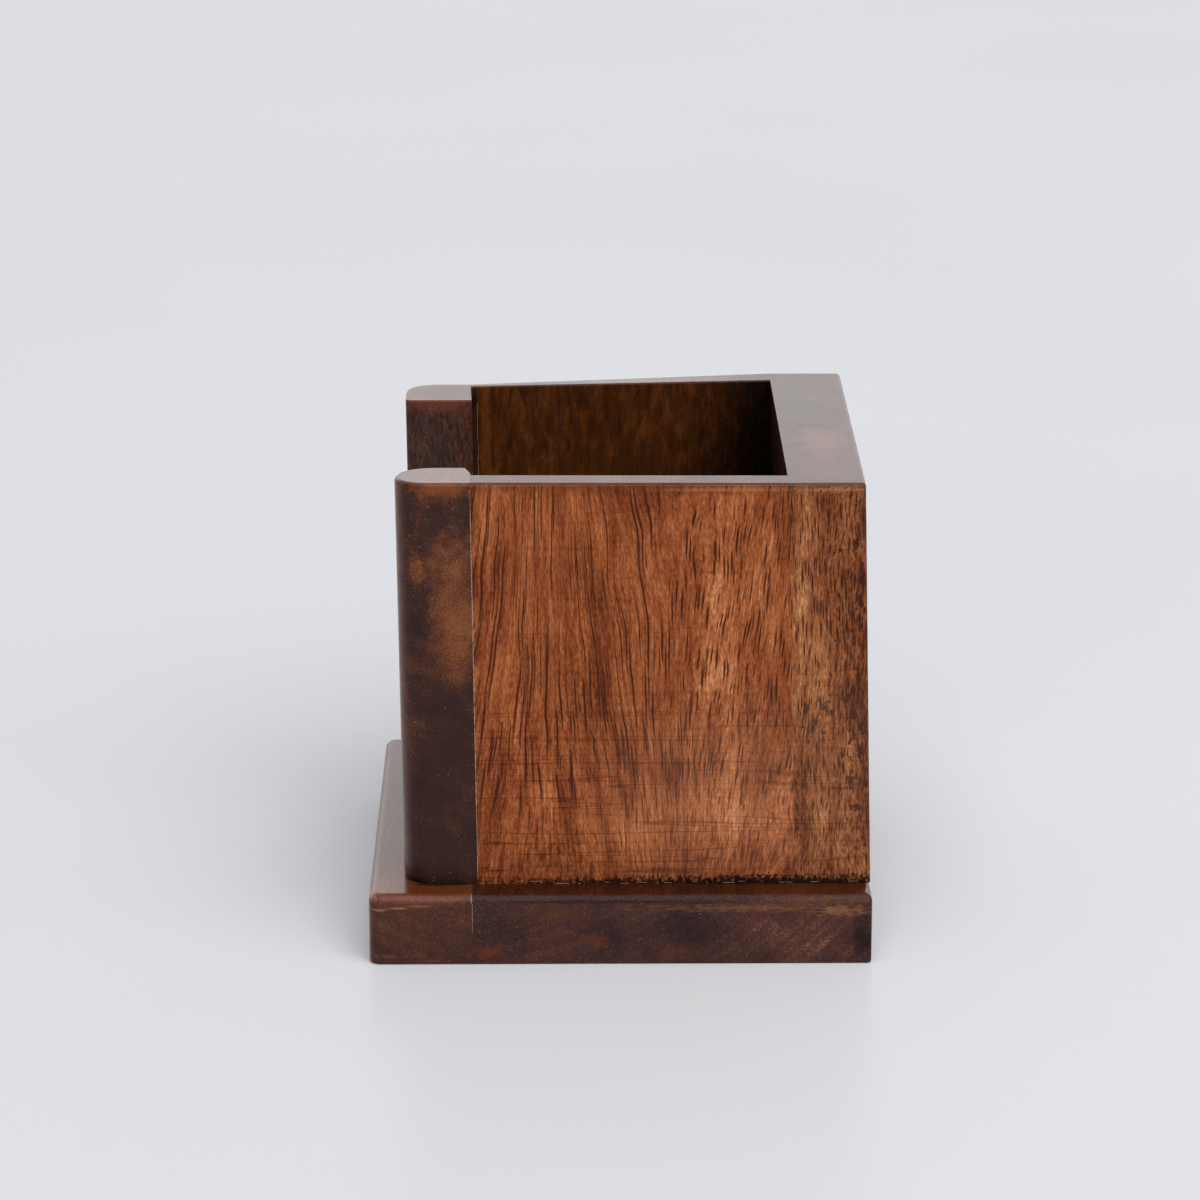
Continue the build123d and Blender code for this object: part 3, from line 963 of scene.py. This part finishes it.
@dataclass
class GlueJoints:
    """Glue left in the joints: pale lines by the front board and the base's seam, specks at the foot."""

    bead_cuts: int = 3
    bead_jitter: float = 0.07
    bead_seed: int = 5
    bead_roundness: float = 0.55
    lines: tuple[GlueLine, ...] = (
        GlueLine("right_front_glue", (BOX_SIDE, -29.25, 16.0), (BOX_SIDE, -30.28, 98.6),
                 Facing.RIGHT, seed=3),
        GlueLine("left_front_glue", (-BOX_SIDE, -30.65, 16.0), (-BOX_SIDE, -31.66, 97.0),
                 Facing.LEFT, seed=4),
        GlueLine("right_base_glue", (BASE_SIDE, BASE_SEAM, 7.0), (BASE_SIDE, BASE_SEAM, 13.1),
                 Facing.RIGHT, width=0.08, seed=5),
        GlueLine("left_base_glue", (-BASE_SIDE, BASE_SEAM, 4.0), (-BASE_SIDE, BASE_SEAM, 13.1),
                 Facing.LEFT, width=0.08, seed=6),
        GlueLine("right_foot_glue", (BOX_SIDE, -29.0, 15.35), (BOX_SIDE, 51.0, 15.35),
                 Facing.RIGHT, width=0.08, lengths=(0.2, 3.2), gaps=(0.2, 6.0), drift=0.25, seed=7),
        GlueLine("inside_corner_glue", (-WELL_SIDE, -29.95, 76.0), (-WELL_SIDE, -30.15, 96.0),
                 Facing.RIGHT, width=0.1, lengths=(1.0, 5.0), gaps=(-0.8, 0.4), drift=0.12, seed=8),
    )

    def build(self) -> None:
        """Model one bead and lay every line with it."""
        bead = self.model_bead()
        material = DRIED_GLUE.material()
        for line in self.lines:
            piece = line.lay(bead, material)
            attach(piece, "root")
            log.info("laid %s", piece.name)
        bpy.data.objects.remove(bead)

    def model_bead(self) -> bpy.types.Object:
        """Model a bead: a block, cut fine, drawn to rounded ends, roughened and smoothed.

        Returns:
            The bead, one metre in each direction.
        """
        select_only(None)
        bpy.ops.mesh.primitive_cube_add(size=1.0)
        bead = bpy.context.object
        bpy.ops.object.mode_set(mode="EDIT")
        bpy.ops.mesh.select_all(action="SELECT")
        bpy.ops.mesh.subdivide(number_cuts=self.bead_cuts)
        bpy.ops.transform.vertex_random(offset=self.bead_jitter, seed=self.bead_seed)
        bpy.ops.object.mode_set(mode="OBJECT")
        rounded = bead.modifiers.new("rounded", "CAST")
        rounded.factor = self.bead_roundness
        rounded.radius = 0.5
        rounded.use_radius_as_size = False
        bead.modifiers.new("smooth", "SUBSURF").levels = 1
        for name in [m.name for m in bead.modifiers]:
            bpy.ops.object.modifier_apply(modifier=name)
        bpy.ops.object.shade_smooth()
        return bead


@dataclass
class Camera:
    """The photograph's viewpoint: level with the rim's near side, from the right and a little above.

    The camera looks past the aim: right and up move it across its view. Angles are in degrees and
    lengths in millimetres.
    """

    aim: Triple = (0.0, 0.0, 50.0)
    turn: float = -0.536
    tilt: float = 16.109
    distance: float = 988.1
    right: float = -3.72
    up: float = 11.96
    lens: float = 139.14
    sensor: float = 36.0
    near: float = 10.0

    def place(self) -> None:
        """Make the camera and look through it."""
        turn, tilt = math.radians(self.turn), math.radians(self.tilt)
        level = Vector((math.cos(turn), math.sin(turn), 0.0))
        back = level * math.cos(tilt) + Vector((0.0, 0.0, math.sin(tilt)))
        right = Vector((-math.sin(turn), math.cos(turn), 0.0))
        up = back.cross(right)
        data = bpy.data.cameras.new("camera")
        data.lens = self.lens
        data.sensor_width = self.sensor
        data.clip_start = self.near * MM
        camera = bpy.data.objects.new("camera", data)
        place = Vector(self.aim) + self.distance * back + self.right * right + self.up * up
        camera.location = place * MM
        camera.rotation_euler = back.to_track_quat("Z", "Y").to_euler()
        bpy.context.scene.collection.objects.link(camera)
        bpy.context.scene.camera = camera


@dataclass(frozen=True)
class Lamp:
    """A soft box: a glowing rectangle that faces the holder, in metres."""

    name: str
    place: Triple
    size: Pair
    radiance: float
    aim: Triple = (0.0, 0.0, 0.05)

    def place_lamp(self) -> None:
        """Make the lamp, as bright as its radiance asks of its size."""
        data = bpy.data.lights.new(self.name, "AREA")
        data.shape = "RECTANGLE"
        data.size, data.size_y = self.size
        data.energy = self.radiance * math.pi * self.size[0] * self.size[1]
        lamp = bpy.data.objects.new(self.name, data)
        lamp.location = self.place
        back = Vector(self.place) - Vector(self.aim)
        lamp.rotation_euler = back.to_track_quat("Z", "Y").to_euler()
        lamp.visible_camera = False
        bpy.context.scene.collection.objects.link(lamp)


@dataclass
class Studio:
    """A pale floor under soft light: a big panel overhead, a box at the right, a fill and a rear panel.

    The sky is what the camera and the lacquer see, and the ambient share of it lights the holder.
    The floor's size is in metres.
    """

    floor_size: float = 12.0
    sky: str = "E3E4E8"
    ambient: float = 0.4
    lamps: tuple[Lamp, ...] = (
        Lamp("overhead_panel", (1.4, 0.3, 2.2), (2.4, 3.0), 2.28),
        Lamp("right_box", (1.3, 1.5, 1.7), (2.0, 2.0), 1.04),
        Lamp("front_fill", (2.2, 0.2, 1.3), (2.5, 1.2), 0.85),
        Lamp("rear_panel", (-1.9, 0.0, 0.62), (3.4, 1.0), 0.95),
    )

    def build(self) -> None:
        """Lay the floor, light the world and hang the lamps."""
        select_only(None)
        bpy.ops.mesh.primitive_plane_add(size=self.floor_size)
        floor = bpy.context.object
        floor.name = "floor"
        floor.data.materials.append(WHITE_LAMINATE.material())
        for lamp in self.lamps:
            lamp.place_lamp()
        world = bpy.data.worlds.new("studio")
        bpy.context.scene.world = world
        world.use_nodes = True
        tree = world.node_tree
        ground = tree.nodes["Background"]
        ground.inputs["Color"].default_value = linear_colour(self.sky)
        path = add_node(tree, "ShaderNodeLightPath").node.outputs
        seen = add_node(tree, "ShaderNodeMath", {0: path["Is Camera Ray"], 1: path["Is Glossy Ray"]},
                        operation="MAXIMUM")
        seen = add_node(tree, "ShaderNodeMath", {0: seen, 1: path["Is Transmission Ray"]},
                        operation="MAXIMUM")
        level = add_node(tree, "ShaderNodeMapRange",
                         {"Value": seen, "To Min": self.ambient, "To Max": 1.0})
        tree.links.new(level, ground.inputs["Strength"])


def main() -> None:
    """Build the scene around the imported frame."""
    logging.basicConfig(level=logging.INFO, format="%(name)s: %(message)s")
    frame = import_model()
    bpy.context.scene.view_settings.view_transform = "Standard"
    Camera().place()
    Studio().build()
    Boards().dress(frame["nodes"])
    GlueJoints().build()
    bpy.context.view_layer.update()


if __name__ == "__main__":
    main()
